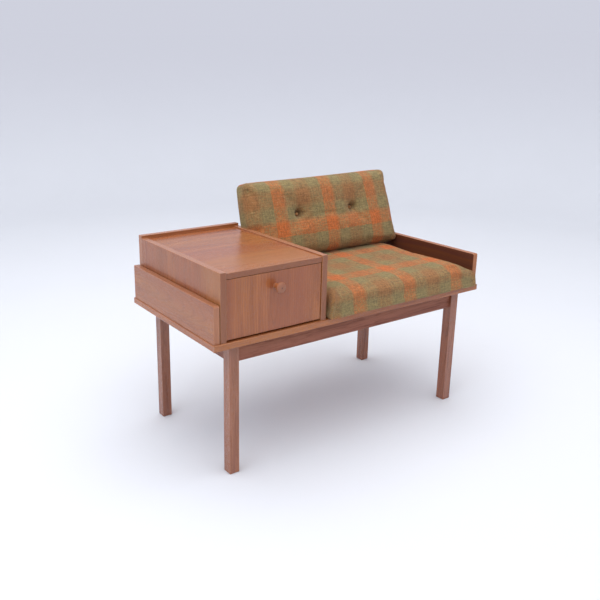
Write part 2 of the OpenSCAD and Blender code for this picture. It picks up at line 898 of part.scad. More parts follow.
// Covered button on the flat of a tuft
button_h = 6;
button_r_share = 0.7;
button_r = button_d * button_r_share;

module back_button(side) {
    color(tweed_orange) on_slope()
        translate([side * tuft_x, tuft_depth, tuft_up]) rotate([90, 0, 0])
            intersection() {
                translate([0, 0, button_h - button_r]) sphere(r = button_r);
                cylinder(h = button_h, d = button_d);
            }
}

// Places of the screws from behind through the supports into the plywood
module at_plywood_screws() {
    for (side = [-1, 1], share = support_screw_shares)
        translate([
            side * support_x,
            back_pad_t - plywood_bite + plywood_screw_l,
            share * support_up])
            rotate([90, 0, 0])
                children();
}

// Plywood panel in the back of the cushion
module back_plywood() {
    color(beech) on_slope() difference() {
        translate([-plywood_w / 2, back_pad_t, (back_pad_h - plywood_h) / 2])
            rotate([90, 0, 0]) linear_extrude(plywood_t)
                polygon(eased(plywood_w, plywood_h, all_shares, plywood_corner_r));
        at_plywood_screws() screw_hole(plywood_screw_l);
    }
}

// Back support

// Depth behind the slope's front plane and height up the slope, as the bench's own Y and Z
function on_slope_yz(depth, up) = [
    slope_y + depth * lean_cos + up * lean_sin,
    slope_z - depth * lean_sin + up * lean_cos];

knee_up = (support_y - slope_y - back_pad_t * lean_cos) / lean_sin;
support_top = on_slope_yz(back_pad_t, support_up);

// Upright foot, raked face against the cushion, and a rounded upper rear corner
function support_outline() = concat(
    [support_top, on_slope_yz(back_pad_t, knee_up)],
    [[support_y, seat_board_h], [rear_face_y, seat_board_h]],
    [for (s = [0 : 6]) [
        rear_face_y - support_round_r + support_round_r * cos(15 * s),
        support_top[1] - support_round_r + support_round_r * sin(15 * s)]]
);

module back_support(side) {
    color(teak_dark) difference() {
        translate([back_mid_x + side * support_x - support_w / 2, 0, 0])
            rotate([90, 0, 90]) linear_extrude(support_w) polygon(support_outline());
        at_support_screws() screw_hole(base_screw_l);
        on_slope() at_plywood_screws() {
            screw_hole(plywood_screw_l);
            translate([0, 0, -support_d]) cylinder(h = support_d, d = screw_head_d);
        }
    }
}

module support_screws() {
    color(steel) at_support_screws() wood_screw(base_screw_l);
}

module plywood_screws() {
    color(steel) on_slope() at_plywood_screws() wood_screw(plywood_screw_l);
}

leg();  // leg_front_left
at_corner(1, 0) leg();  // leg_front_right
at_corner(0, 1) leg();  // leg_rear_left
at_corner(1, 1) leg();  // leg_rear_right
rail_long();  // rail_front
at_corner(0, 1) rail_long();  // rail_rear
rail_short();  // rail_left
at_corner(1, 0) rail_short();  // rail_right
block();  // block_front_left
at_corner(1, 0) block();  // block_front_right
at_corner(0, 1) block();  // block_rear_left
at_corner(1, 1) block();  // block_rear_right
block_screws();
base_board();
base_lipping_front();
base_lipping_left();
base_lipping_right();
upstand_left();
upstand_right();
upstand_screws();
upright_board(cabinet_x, 0);  // cabinet_side
upright_board(divider_x, 1);  // cabinet_divider
cabinet_top();
cabinet_back();
cabinet_screws();
cabinet_dowels();
cabinet_back_screws();
drawer_runner(0);  // drawer_runner_left
drawer_runner(1);  // drawer_runner_right
runner_screws();
drawer_front();
drawer_side();  // drawer_side_left
at_side(1) drawer_side();  // drawer_side_right
drawer_back();
drawer_bottom();
drawer_knob();
knob_screw();
seat_cushion();
back_cushion();
back_button(-1);  // back_button_left
back_button(1);  // back_button_right
back_plywood();
back_support(-1);  // back_support_left
back_support(1);  // back_support_right
support_screws();
plywood_screws();
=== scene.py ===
import json
import math
import bpy
from mathutils import Matrix, Vector


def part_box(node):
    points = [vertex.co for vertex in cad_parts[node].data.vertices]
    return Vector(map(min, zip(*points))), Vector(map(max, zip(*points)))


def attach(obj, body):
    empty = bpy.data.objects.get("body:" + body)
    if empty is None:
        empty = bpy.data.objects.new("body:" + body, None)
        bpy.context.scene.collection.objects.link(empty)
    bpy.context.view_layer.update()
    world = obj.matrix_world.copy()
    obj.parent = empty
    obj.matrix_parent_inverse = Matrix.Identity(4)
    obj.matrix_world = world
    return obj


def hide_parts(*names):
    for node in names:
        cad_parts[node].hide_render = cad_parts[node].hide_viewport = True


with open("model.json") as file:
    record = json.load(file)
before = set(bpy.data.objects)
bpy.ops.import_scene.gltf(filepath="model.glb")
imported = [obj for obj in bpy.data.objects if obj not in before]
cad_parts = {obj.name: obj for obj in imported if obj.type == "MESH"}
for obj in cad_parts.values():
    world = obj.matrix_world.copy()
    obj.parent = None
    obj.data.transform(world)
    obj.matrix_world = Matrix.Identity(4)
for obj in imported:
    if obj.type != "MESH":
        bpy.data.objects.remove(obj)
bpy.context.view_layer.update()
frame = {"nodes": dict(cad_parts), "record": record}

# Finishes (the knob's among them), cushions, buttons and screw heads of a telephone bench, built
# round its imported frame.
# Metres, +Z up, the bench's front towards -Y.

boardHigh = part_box("base_board")[1]  # rear right corner of the base board's top
print("frame:", len(frame["nodes"]), "nodes")


# Selecting and placing

def clearSelection():
    if bpy.context.object and bpy.context.object.mode == "EDIT":
        bpy.ops.object.mode_set(mode="OBJECT")
    bpy.ops.object.select_all(action="DESELECT")


def pick(piece):
    clearSelection()
    piece.select_set(True)
    bpy.context.view_layer.objects.active = piece


def pickParts(piece, kind, wanted):
    # Selects the vertices, edges or faces that wanted() says yes to, and stays in edit mode
    bpy.ops.object.mode_set(mode="EDIT")
    bpy.ops.mesh.select_all(action="DESELECT")
    bpy.ops.mesh.select_mode(type=kind)
    bpy.ops.object.mode_set(mode="OBJECT")
    mesh = piece.data
    if kind == "VERT":
        for v in mesh.vertices:
            v.select = wanted(v.co)
    elif kind == "EDGE":
        for e in mesh.edges:
            a, b = (mesh.vertices[i].co for i in e.vertices)
            e.select = wanted(a, b)
    else:
        for f in mesh.polygons:
            f.select = wanted(f.center, f.normal)
    bpy.ops.object.mode_set(mode="EDIT")


def applyModifier(piece, kind, **settings):
    made = piece.modifiers.new(kind.title(), kind)
    for name, value in settings.items():
        setattr(made, name, value)
    pick(piece)
    bpy.ops.object.modifier_apply(modifier=made.name)


def copyOf(piece, name):
    # A copy with its own mesh
    made = piece.copy()
    made.data = piece.data.copy()
    made.name = name
    bpy.context.collection.objects.link(made)
    return made


def outward(piece):
    pickParts(piece, "VERT", lambda co: True)
    bpy.ops.mesh.normals_make_consistent(inside=False)
    bpy.ops.object.mode_set(mode="OBJECT")


def shadeSmooth(piece):
    pick(piece)
    bpy.ops.object.shade_smooth()


def smooth(a, b, x):
    # From 0 at a to 1 at b, level at both ends
    t = min(max((x - a) / (b - a), 0), 1)
    return t * t * (3 - 2 * t)


# Camera, light and floor

viewing = {
    "place": (-1.2703, -1.5777, 1.0146),
    "aim": (-0.2404, 0.0096, 0.4618),
    "lens": 42.59,
    "shift": (0.0947, -0.0405),
}
studio = {
    "floorRadius": 3.4,
    "rimPoints": 96,
    "coveRadius": 1.3,
    "coveSteps": 9,
    "wallHeight": 2.2,
    "paper": (0.775, 0.785, 0.815),
    "seenWall": (0.625, 0.64, 0.73),  # colour of the backdrop in view and in reflections
    "wallStart": (0.03, 1.3),  # heights between which the floor's shading gives way to it
    "skyColour": (0.92, 0.94, 1.0),
    "skyStrength": 1.02,
    "lampAim": (0, 0, 0.4),
}
lamps = [
    # name, place, side, watts, colour
    ("top", (-0.3, -0.2, 2.9), 3.6, 59, (1, 0.98, 0.96)),
    ("left", (-2.6, -0.8, 1.9), 1.8, 18, (0.70, 0.85, 1)),
]


def makeCamera():
    data = bpy.data.cameras.new("camera")
    camera = bpy.data.objects.new("camera", data)
    bpy.context.scene.collection.objects.link(camera)
    data.sensor_width = 36
    data.lens = viewing["lens"]
    data.shift_x, data.shift_y = viewing["shift"]
    data.clip_start = 0.05
    look = Vector(viewing["aim"]) - Vector(viewing["place"])
    camera.location = viewing["place"]
    camera.rotation_mode = "QUATERNION"
    camera.rotation_quaternion = look.to_track_quat("-Z", "Y")
    bpy.context.scene.camera = camera
    bpy.context.scene.view_settings.view_transform = "Standard"


def makeLamps():
    for name, place, side, watts, colour in lamps:
        data = bpy.data.lights.new("lamp_" + name, "AREA")
        data.shape = "SQUARE"
        data.size = side
        data.energy = watts
        data.color = colour
        lamp = bpy.data.objects.new("lamp_" + name, data)
        bpy.context.scene.collection.objects.link(lamp)
        lamp.location = place
        aim = Vector(studio["lampAim"]) - Vector(place)
        lamp.rotation_mode = "QUATERNION"
        lamp.rotation_quaternion = aim.to_track_quat("-Z", "Y")


def sharpRay(tree):
    # 1 for what the camera sees straight, in gloss or through glass
    rays = put(tree, "LightPath").outputs
    seen = calc(tree, "MAXIMUM", rays["Is Camera Ray"], rays["Is Glossy Ray"])
    return calc(tree, "MAXIMUM", seen, rays["Is Transmission Ray"])


def makeSky():
    sky = bpy.data.worlds.new("sky")
    bpy.context.scene.world = sky
    sky.use_nodes = True
    tree = sky.node_tree
    tree.nodes.clear()
    light = put(tree, "Background", {0: (*studio["skyColour"], 1), 1: studio["skyStrength"]})
    seen = put(tree, "Background", {0: (*studio["seenWall"], 1), 1: 1})
    sharp = sharpRay(tree)
    mixed = put(tree, "MixShader", {0: sharp, 1: light.outputs[0], 2: seen.outputs[0]})
    put(tree, "OutputWorld", {0: mixed.outputs[0]})


def makeFloor():
    # A round floor whose rim curves up into a wall, so that no horizon shows
    clearSelection()
    radius, cove, steps = studio["floorRadius"], studio["coveRadius"], studio["coveSteps"]
    bpy.ops.mesh.primitive_circle_add(vertices=studio["rimPoints"], radius=radius, fill_type="NGON")
    floor = bpy.context.object
    floor.name = "floor"
    pickParts(floor, "EDGE", lambda a, b: True)
    reached, lifted = radius, 0
    for i in range(1, steps + 2):
        turn = math.radians(90) * min(i / steps, 1)
        wide = radius + cove * math.sin(turn)
        high = cove * (1 - math.cos(turn)) + (studio["wallHeight"] if i > steps else 0)
        bpy.ops.mesh.extrude_edges_move(TRANSFORM_OT_translate={"value": (0, 0, high - lifted)})
        bpy.ops.transform.resize(value=(wide / reached, wide / reached, 1))
        reached, lifted = wide, high
    bpy.ops.object.mode_set(mode="OBJECT")
    bpy.ops.object.shade_smooth()
    floor.data.materials.append(makePaper())


# Node helpers

def put(tree, kind, inputs=(), **settings):
    # One shader node: inputs go to its sockets by number or name, settings to its properties
    made = tree.nodes.new("ShaderNode" + kind)
    for name, value in settings.items():
        setattr(made, name, value)
    for socket, value in dict(inputs).items():
        if isinstance(value, bpy.types.NodeSocket):
            tree.links.new(value, made.inputs[socket])
        else:
            made.inputs[socket].default_value = value
    return made


def calc(tree, kind, a, b=0.0, c=0.0):
    return put(tree, "Math", {0: a, 1: b, 2: c}, operation=kind).outputs[0]


def vectors(tree, kind, a, b=(0, 0, 0)):
    return put(tree, "VectorMath", {0: a, 1: b}, operation=kind).outputs[0]


def mixColour(tree, factor, a, b, kind="MIX"):
    made = put(tree, "Mix", data_type="RGBA", blend_type=kind)
    for socket, value in ((0, factor), (6, a), (7, b)):
        if isinstance(value, bpy.types.NodeSocket):
            tree.links.new(value, made.inputs[socket])
        else:
            made.inputs[socket].default_value = value if socket == 0 else (*value, 1)
    return made.outputs[2]


def spread(tree, value, low, high, toLow=0.0, toHigh=1.0):
    # Maps low..high to toLow..toHigh, smoothly
    made = put(tree, "MapRange", {0: value, 1: low, 2: high, 3: toLow, 4: toHigh},
               interpolation_type="SMOOTHSTEP")
    return made.outputs[0]


def grainNoise(tree, place, waves, detail=2.0, rough=0.5, output=0):
    # waves to the metre, the same every way or for each axis
    if isinstance(waves, tuple):
        place, waves = vectors(tree, "MULTIPLY", place, waves), 1.0
    return put(tree, "TexNoise", {"Vector": place, "Scale": waves, "Detail": detail,
                                  "Roughness": rough}).outputs[output]


def newMaterial(name):
    made = bpy.data.materials.new(name)
    made.use_nodes = True
    tree = made.node_tree
    tree.nodes.clear()
    surface = put(tree, "BsdfPrincipled")
    put(tree, "OutputMaterial", {0: surface.outputs[0]})
    return made, tree, surface


def bump(tree, surface, height, distance, strength=1.0):
    made = put(tree, "Bump", {"Height": height, "Distance": distance, "Strength": strength})
    tree.links.new(made.outputs[0], surface.inputs["Normal"])


def makePaper():
    # Shaded paper under the bench, an even pale colour where it stands up behind it
    made, tree, surface = newMaterial("backdrop_paper")
    place = put(tree, "TexCoord").outputs["Object"]
    cloud = grainNoise(tree, place, 1.3, 3.0, 0.6)
    pale = tuple(0.97 * part for part in studio["paper"])
    tree.links.new(mixColour(tree, cloud, pale, studio["paper"]), surface.inputs["Base Color"])
    surface.inputs["Roughness"].default_value = 0.9
    surface.inputs["Specular IOR Level"].default_value = 0.1
    height = put(tree, "SeparateXYZ", {0: place}).outputs[2]
    stands = spread(tree, height, *studio["wallStart"])
    wall = put(tree, "Emission", {0: (*studio["seenWall"], 1), 1: 1.0}).outputs[0]
    seen = calc(tree, "MULTIPLY", stands, sharpRay(tree))
    both = put(tree, "MixShader", {0: seen, 1: surface.outputs[0], 2: wall}).outputs[0]
    tree.links.new(both, tree.nodes["Material Output"].inputs[0])
    return made


# Wood

teak = {
    "light": (0.425, 0.137, 0.040),
    "dark": (0.25, 0.068, 0.023),
    "golden": (0.405, 0.148, 0.037),
    "pink": (0.325, 0.092, 0.038),
    "pore": (0.13, 0.036, 0.017),
    "lipping": (0.46, 0.19, 0.092),
    "frontLipping": (0.26, 0.092, 0.038),
    # pale arrises: painted highlight of the eased edges, and some wear
    "wornAndLit": (0.50, 0.25, 0.14),
    "shaded": (0.080, 0.023, 0.016),
    # darker, duller colours of legs and rails; on the rails also painted shade under the board's
    # overhang
    "toneAndShade": ((0.155, 0.052, 0.037), (0.315, 0.128, 0.088)),
    "roughness": (0.24, 0.36),
    "lacquer": 0.28,
    "wearAndHighlightWidth": 0.0018,
    # Waves to the metre along and across the grain
    "bands": (1.1, 46, 46),
    "lines": (1.6, 105, 105),
    "streaks": (5, 330, 330),
    "fibres": (75, 1500, 1500),
    "clouds": (0.9, 8, 8),
    "sway": (2.2, 3, 3),
    "swayReach": 0.045,
    "threads": (9.0, 260.0),
    "wearAndHighlightWaves": 210.0,
    # Between which values each of them colours the wood, and how much
    "toneSpread": (0.34, 0.66),
    "goldSpread": (0.42, 0.62, 0, 0.65),
    "pinkSpread": (0.5, 0.66, 0, 0.6),
    "lineSpread": (0.56, 0.71, 0, 0.75),
    "poreSpread": (0.53, 0.66),
    "threadSpread": (0.25, 0.75, 0, 0.55),
    "duskSpread": (0.35, 0.7),
    "dullSpread": (0.36, 0.6),
}
figure = {
    "narrowest": 0.08,  # boards narrower than this show no arches
    "stretch": 0.13,  # of the arches along the grain
    "lines": 1250,
    "power": 1.2,  # above 1, the lines stand closer away from the heart
    "wander": 0.024,
    "waves": (5, 16),  # of the wander, along and across the grain
    "heartSteps": (0.37, 0.61),  # from board to board, which move the heart about its middle
    "heartShares": (0.5, 0.7),  # of the width and the length, within which it stays
    "lineStart": 0.35,
    "strength": 0.6,
}
turns = {"x": (0, 0, 0), "y": (0, 0, math.radians(90)), "z": (0, math.radians(90), 0)}


def edgeReach(tree, place, low, high):
    # Distance of a point of a box's surface from the box's nearest edge
    near = vectors(tree, "SUBTRACT", place, tuple(low))
    far = vectors(tree, "SUBTRACT", tuple(high), place)
    gaps = put(tree, "SeparateXYZ", {0: vectors(tree, "MINIMUM", near, far)}).outputs
    small = calc(tree, "MINIMUM", gaps[0], gaps[1])
    large = calc(tree, "MAXIMUM", gaps[0], gaps[1])
    return calc(tree, "MAXIMUM", small, calc(tree, "MINIMUM", large, gaps[2]))


def facing(tree, axis):
    # 1 on faces square to an axis, 0 on the others
    normal = put(tree, "SeparateXYZ", {0: put(tree, "NewGeometry").outputs["Normal"]}).outputs[axis]
    return spread(tree, calc(tree, "ABSOLUTE", normal), 0.6, 0.8), normal


def archedLines(tree, place, low, high, grain, number):
    # The arches of a flat-sawn board, round a heart beside its middle; 0 on narrow pieces
    size = high - low
    lengthwise = "xyz".index(grain)
    crosswise = max((axis for axis in range(3) if axis != lengthwise), key=lambda axis: size[axis])
    if size[crosswise] < figure["narrowest"]:
        return 0.0
    heart = (low + high) / 2
    for axis, step, share in zip((crosswise, lengthwise), figure["heartSteps"],
                                 figure["heartShares"]):
        heart[axis] += ((number * step) % 1 - 0.5) * share * size[axis]
    stretch, waves = [0, 0, 0], [0, 0, 0]
    stretch[lengthwise], stretch[crosswise] = figure["stretch"], 1
    waves[lengthwise], waves[crosswise] = figure["waves"]
    away = vectors(tree, "MULTIPLY", vectors(tree, "SUBTRACT", place, tuple(heart)), tuple(stretch))
    reach = put(tree, "VectorMath", {0: away}, operation="LENGTH").outputs["Value"]
    wander = grainNoise(tree, place, tuple(waves), 3.0, 0.45)
    reach = calc(tree, "MULTIPLY_ADD", wander, figure["wander"], reach)
    phase = calc(tree, "MULTIPLY", calc(tree, "POWER", reach, figure["power"]), figure["lines"])
    return spread(tree, calc(tree, "SINE", phase), figure["lineStart"], 1, 0, figure["strength"])


def makeTeak(name, grain, number, lipped=None, inner=0, toneAndShade=0.0):
    # grain is the axis along the fibres; lipped the axis of the veneered faces, with solid edges;
    # inner the side of the board, -1 or 1 along X, whose face is left darker
    made, tree, surface = newMaterial("teak_" + name)
    low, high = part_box(name)
    place = put(tree, "TexCoord").outputs["Object"]
    offset = (0.37 * number, 0.11 * number, 0.23 * number)
    along = put(tree, "Mapping", {"Vector": place, "Rotation": turns[grain],
                                  "Location": offset}).outputs[0]
    sway = grainNoise(tree, along, teak["sway"], 1.0, output="Color")
    sideways = (0, teak["swayReach"], teak["swayReach"])
    bent = put(tree, "VectorMath", {0: sway, 1: sideways, 2: along},
               operation="MULTIPLY_ADD").outputs[0]
    bands = grainNoise(tree, bent, teak["bands"], 1.0)
    lines = grainNoise(tree, bent, teak["lines"], 3.0, 0.6)
    streaks = grainNoise(tree, bent, teak["streaks"], 3.0, 0.65)
    fibres = grainNoise(tree, bent, teak["fibres"], 2.0, 0.6)
    clouds = grainNoise(tree, along, teak["clouds"], 1.0, output="Color")
    gold, rose, _ = put(tree, "SeparateXYZ", {0: clouds}).outputs
    pores = spread(tree, fibres, *teak["poreSpread"])

    # Bands and streaks, broad golden and pink patches, dark lines, arches of the figure
    tone = calc(tree, "MULTIPLY_ADD", bands, 0.42, calc(tree, "MULTIPLY", streaks, 0.58))
    colour = mixColour(tree, spread(tree, tone, *teak["toneSpread"]), teak["dark"], teak["light"])
    for value, reach, tint in ((gold, "goldSpread", "golden"), (rose, "pinkSpread", "pink"),
                               (lines, "lineSpread", "dark")):
        colour = mixColour(tree, spread(tree, value, *teak[reach]), colour, teak[tint])
    arches = archedLines(tree, place, low, high, grain, number)
    if arches:
        arches = calc(tree, "MULTIPLY", arches, spread(tree, streaks, 0.3, 0.65, 0.35, 1))
        colour = mixColour(tree, arches, colour, teak["dark"])

    if lipped is not None:
        across = [teak["threads"][0]] * 3
        across[lipped] = teak["threads"][1]
        threads = grainNoise(tree, place, tuple(across), 3.0, 0.7)
        front = teak["frontLipping"] if name.startswith("cabinet") else teak["lipping"]
        lipping = mixColour(tree, facing(tree, 1)[0], teak["lipping"], front)
        stripes = spread(tree, threads, *teak["threadSpread"])
        lipping = mixColour(tree, stripes, lipping, teak["dark"])
        colour = mixColour(tree, facing(tree, lipped)[0], lipping, colour)
    if inner:
        normal = facing(tree, 0)[1]
        hidden = spread(tree, calc(tree, "MULTIPLY", normal, float(inner)), 0.6, 0.8, 0, 0.92)
        dusk = mixColour(tree, spread(tree, bands, *teak["duskSpread"]), teak["shaded"],
                         tuple(0.5 * part for part in teak["dark"]))
        colour = mixColour(tree, hidden, colour, dusk)
    # Darker, duller tone; on the rails it is also painted shade under the board's overhang
    if toneAndShade:
        dull = mixColour(tree, spread(tree, tone, *teak["dullSpread"]), *teak["toneAndShade"])
        colour = mixColour(tree, toneAndShade, colour, dull)
    colour = mixColour(tree, calc(tree, "MULTIPLY", pores, 0.42), colour, teak["pore"])

    # Arrises pale: painted highlight where light would catch their eased edges, and some real wear
    width = teak["wearAndHighlightWidth"]
    ragged = calc(tree, "MULTIPLY", grainNoise(tree, place, teak["wearAndHighlightWaves"], 3.0, 0.6), width)
    reach = calc(tree, "ADD", edgeReach(tree, place, low, high), ragged)
    wornAndLit = spread(tree, reach, width * 0.5, width * 1.4, 0.35, 0)
    tree.links.new(mixColour(tree, wornAndLit, colour, teak["wornAndLit"]), surface.inputs["Base Color"])

    rough = spread(tree, calc(tree, "MULTIPLY_ADD", pores, 0.5, gold), 0.3, 1.2,
                   *teak["roughness"])
    if inner:
        rough = calc(tree, "MULTIPLY_ADD", hidden, 0.4, rough)
    tree.links.new(rough, surface.inputs["Roughness"])
    if name in unpolished:
        surface.inputs["Specular IOR Level"].default_value = 0.15
    else:
        surface.inputs["Coat Weight"].default_value = teak["lacquer"]
    surface.inputs["Coat Roughness"].default_value = 0.2
    bump(tree, surface, calc(tree, "MULTIPLY_ADD", pores, -1.0, streaks), 0.0002, 0.4)
    return made


knob = {
    "face": (0.34, 0.138, 0.076),
    "ring": (0.27, 0.098, 0.05),
    "plug": (0.10, 0.035, 0.022),
    "plugRadius": 0.0021,
    "heart": (0.011, 0, 0.017),  # of the growth rings beside the knob's middle
    "growth": 95.0,
}


def makeKnobWood():
    # Turned across the end grain, with the dark end of the plug over its screw in the middle
    made, tree, surface = newMaterial("teak_drawer_knob")
    low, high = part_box("drawer_knob")
    centre = (low + high) / 2
    place = put(tree, "TexCoord").outputs["Object"]
    offset = vectors(tree, "SUBTRACT", place, (centre.x, low.y, centre.z))
    flat = vectors(tree, "MULTIPLY", offset, (1, 0, 1))
    radius = put(tree, "VectorMath", {0: flat}, operation="LENGTH").outputs["Value"]
    growth = put(tree, "TexWave", {"Vector": vectors(tree, "ADD", flat, knob["heart"]),
                                   "Scale": knob["growth"], "Distortion": 2.5, "Detail": 2.0},
                 wave_type="RINGS", rings_direction="Y").outputs["Fac"]
    fine = grainNoise(tree, offset, (900, 60, 900))
    tone = calc(tree, "MULTIPLY_ADD", growth, 0.16, calc(tree, "MULTIPLY", fine, 0.84))
    colour = mixColour(tree, spread(tree, tone, 0.25, 0.75), knob["ring"], knob["face"])
    side = facing(tree, 1)[0]
    colour = mixColour(tree, side, mixColour(tree, fine, teak["dark"], teak["light"]), colour)
    ragged = calc(tree, "MULTIPLY_ADD", fine, 0.0005, radius)
    plug = spread(tree, ragged, knob["plugRadius"] * 0.8, knob["plugRadius"] * 1.3, 1, 0)
    colour = mixColour(tree, plug, colour, knob["plug"])
    tree.links.new(colour, surface.inputs["Base Color"])
    tree.links.new(spread(tree, fine, 0.2, 0.8, 0.3, 0.42), surface.inputs["Roughness"])
    sunken = calc(tree, "SUBTRACT", fine, calc(tree, "MULTIPLY", plug, 3.0))
    bump(tree, surface, sunken, 0.0002, 0.5)
    return made


plain = {
    # light, dark and pore colour, streaks to the metre, roughness
    "beech": ((0.62, 0.40, 0.22), (0.50, 0.29, 0.145), (0.33, 0.17, 0.08), 160, 0.5),
    "hardboard": ((0.20, 0.115, 0.06), (0.13, 0.07, 0.035), (0.09, 0.045, 0.02), 700, 0.62),
}
birch = ((0.68, 0.5, 0.3), (0.55, 0.37, 0.2), (0.45, 0.27, 0.13))  # light, dark and wave colour
zinc = ((0.30, 0.28, 0.26), (0.46, 0.44, 0.42))


def makePlain(name, kind, grain, number):
    # Unpolished wood of the hidden pieces, with short darker flecks
    light, dark, fleck, count, rough = plain[kind]
    made, tree, surface = newMaterial(kind + "_" + name)
    place = put(tree, "TexCoord").outputs["Object"]
    along = put(tree, "Mapping", {"Vector": place, "Rotation": turns[grain],
                                  "Location": (0.31 * number, 0.17 * number, 0)}).outputs[0]
    streaks = grainNoise(tree, along, (5, count, count), 3.0, 0.6)
    flecks = grainNoise(tree, along, (120, 900, 900), 1.0)
    colour = mixColour(tree, spread(tree, streaks, 0.3, 0.7), dark, light)
    colour = mixColour(tree, spread(tree, flecks, 0.6, 0.7, 0, 0.45), colour, fleck)
    tree.links.new(colour, surface.inputs["Base Color"])
    tree.links.new(spread(tree, streaks, 0.2, 0.8, rough, rough + 0.15),
                   surface.inputs["Roughness"])
    bump(tree, surface, streaks, 0.0003, 0.5)
    return made


def makePlywood():
    # Birch with a wavy figure, level along the leaning panel
    light, dark, wave = birch
    made, tree, surface = newMaterial("plywood_back")
    place = put(tree, "TexCoord").outputs["Object"]
    lean = (math.radians(backPad["lean"]), 0, 0)
    along = put(tree, "Mapping", {"Vector": place, "Rotation": lean}).outputs[0]
    streaks = grainNoise(tree, along, (4, 60, 60), 3.0, 0.6)
    waves = put(tree, "TexWave", {"Vector": vectors(tree, "MULTIPLY", along, (0.6, 1, 5)),
                                  "Scale": 3.0, "Distortion": 6.0, "Detail": 2.0}).outputs["Fac"]
    colour = mixColour(tree, spread(tree, streaks, 0.3, 0.7), dark, light)
    colour = mixColour(tree, spread(tree, waves, 0.5, 0.95, 0, 0.3), colour, wave)
    tree.links.new(colour, surface.inputs["Base Color"])
    surface.inputs["Roughness"].default_value = 0.6
    bump(tree, surface, streaks, 0.0003, 0.5)
    return made


def makeSteel():
    made, tree, surface = newMaterial("steel")
    place = put(tree, "TexCoord").outputs["Object"]
    dull = grainNoise(tree, place, 900.0, 3.0, 0.6)
    tree.links.new(mixColour(tree, dull, *zinc), surface.inputs["Base Color"])
    tree.links.new(spread(tree, dull, 0.3, 0.7, 0.25, 0.5), surface.inputs["Roughness"])
    surface.inputs["Metallic"].default_value = 1.0
    return made


# Checked tweed. Each cushion carries the cloth's own places as an attribute, in metres

tweed = {
    "orange": (0.525, 0.142, 0.036),
    "olive": (0.262, 0.198, 0.084),
    "rust": (0.315, 0.146, 0.055),
    "fleck": (0.50, 0.42, 0.24),
    "shadow": (0.055, 0.045, 0.03),
    "widths": (0.046, 0.044, 0.053, 0.047),  # orange, olive, rust, olive
    "soften": 0.014,
    "yarn": 0.0028,
    "yarnTones": ((0.62, 0.62, 0.66), (1.36, 1.34, 1.26)),
    "yarnWaves": 40,  # to the metre, of a yarn's tone along it
    "drift": (60.0, 0.009),  # of the stripes: waves to the metre and reach
    "heather": 240.0,
    "crossSpread": (0.33, 0.67),
    "fleckSpread": (0.56, 0.72, 0, 0.4),
    "shadowSpread": (0.28, 0.46, 0.45, 0),
    "attribute": "cloth_place",
}


def stripeColour(tree, place):
    # The colour of the yarns at a place across their direction; orange starts at 0
    pitch = sum(tweed["widths"])
    ramp = put(tree, "ValToRGB", {0: calc(tree, "FRACT", calc(tree, "DIVIDE", place, pitch))})
    stops, start = [], 0.0
    for width, kind in zip(tweed["widths"], ("orange", "olive", "rust", "olive")):
        stops += [(start + tweed["soften"] / 2, kind), (start + width - tweed["soften"] / 2, kind)]
        start += width
    elements = ramp.color_ramp.elements
    while len(elements) < len(stops):
        elements.new(0.5)
    for element, (at, kind) in zip(elements, stops):
        element.position = at / pitch
        element.color = (*tweed[kind], 1)
    return ramp.outputs[0]


def yarnTone(tree, place, waves):
    # Brightness of single yarns, which also changes slowly along them
    tone = grainNoise(tree, place, waves, 2.0, 0.75)
    return mixColour(tree, spread(tree, tone, 0.28, 0.72), *tweed["yarnTones"])


def makeTweed(name, start):
    # start is where an orange stripe begins across and along the cloth
    made, tree, surface = newMaterial("tweed_" + name)
    place = put(tree, "Attribute", attribute_name=tweed["attribute"]).outputs["Vector"]
    driftWaves, driftReach = tweed["drift"]
    wander = grainNoise(tree, place, driftWaves, 3.0, output="Color")
    drift = vectors(tree, "MULTIPLY", vectors(tree, "SUBTRACT", wander, (0.5, 0.5, 0.5)),
                    (driftReach, driftReach, 0))
    shifted = vectors(tree, "ADD", vectors(tree, "SUBTRACT", place, (*start, 0)), drift)
    across, along, _ = put(tree, "SeparateXYZ", {0: shifted}).outputs
    perYarn, slow = 1 / tweed["yarn"], tweed["yarnWaves"]
    warp = mixColour(tree, 1.0, stripeColour(tree, across),
                     yarnTone(tree, place, (perYarn * 0.6, slow, 0)), "MULTIPLY")
    weft = mixColour(tree, 1.0, stripeColour(tree, along),
                     yarnTone(tree, place, (slow, perYarn * 0.6, 0)), "MULTIPLY")

    # Each crossing shows the warp or the weft, broken up as in a coarse hand-woven cloth
    turned = vectors(tree, "MULTIPLY", place, (math.pi * perYarn,) * 3)
    u, v, _ = put(tree, "SeparateXYZ", {0: turned}).outputs
    slant = calc(tree, "SINE", calc(tree, "ADD", u, v))
    knots = grainNoise(tree, place, 0.55 * perYarn, 2.0, 0.7)
    over = spread(tree, calc(tree, "MULTIPLY_ADD", slant, 0.16, knots), *tweed["crossSpread"])
    colour = mixColour(tree, over, weft, warp)
    heather = grainNoise(tree, place, tweed["heather"], 3.0, 0.75)
    for tint in ("fleck", "shadow"):
        amount = spread(tree, heather, *tweed[tint + "Spread"])
        colour = mixColour(tree, amount, colour, tweed[tint])
    tree.links.new(colour, surface.inputs["Base Color"])
    surface.inputs["Roughness"].default_value = 0.92
    surface.inputs["Specular IOR Level"].default_value = 0.12
    surface.inputs["Sheen Weight"].default_value = 0.08
    surface.inputs["Sheen Roughness"].default_value = 0.6
    ribs = calc(tree, "ABSOLUTE", calc(tree, "SINE", u))
    rows = calc(tree, "ABSOLUTE", calc(tree, "SINE", v))
    relief = put(tree, "Mix", {0: over, 2: rows, 3: ribs}).outputs[0]
    bump(tree, surface, calc(tree, "MULTIPLY_ADD", heather, 1.2, relief), 0.0011, 0.8)
    return made


# Cushions. Reaches and levels are distances over which a form sets in

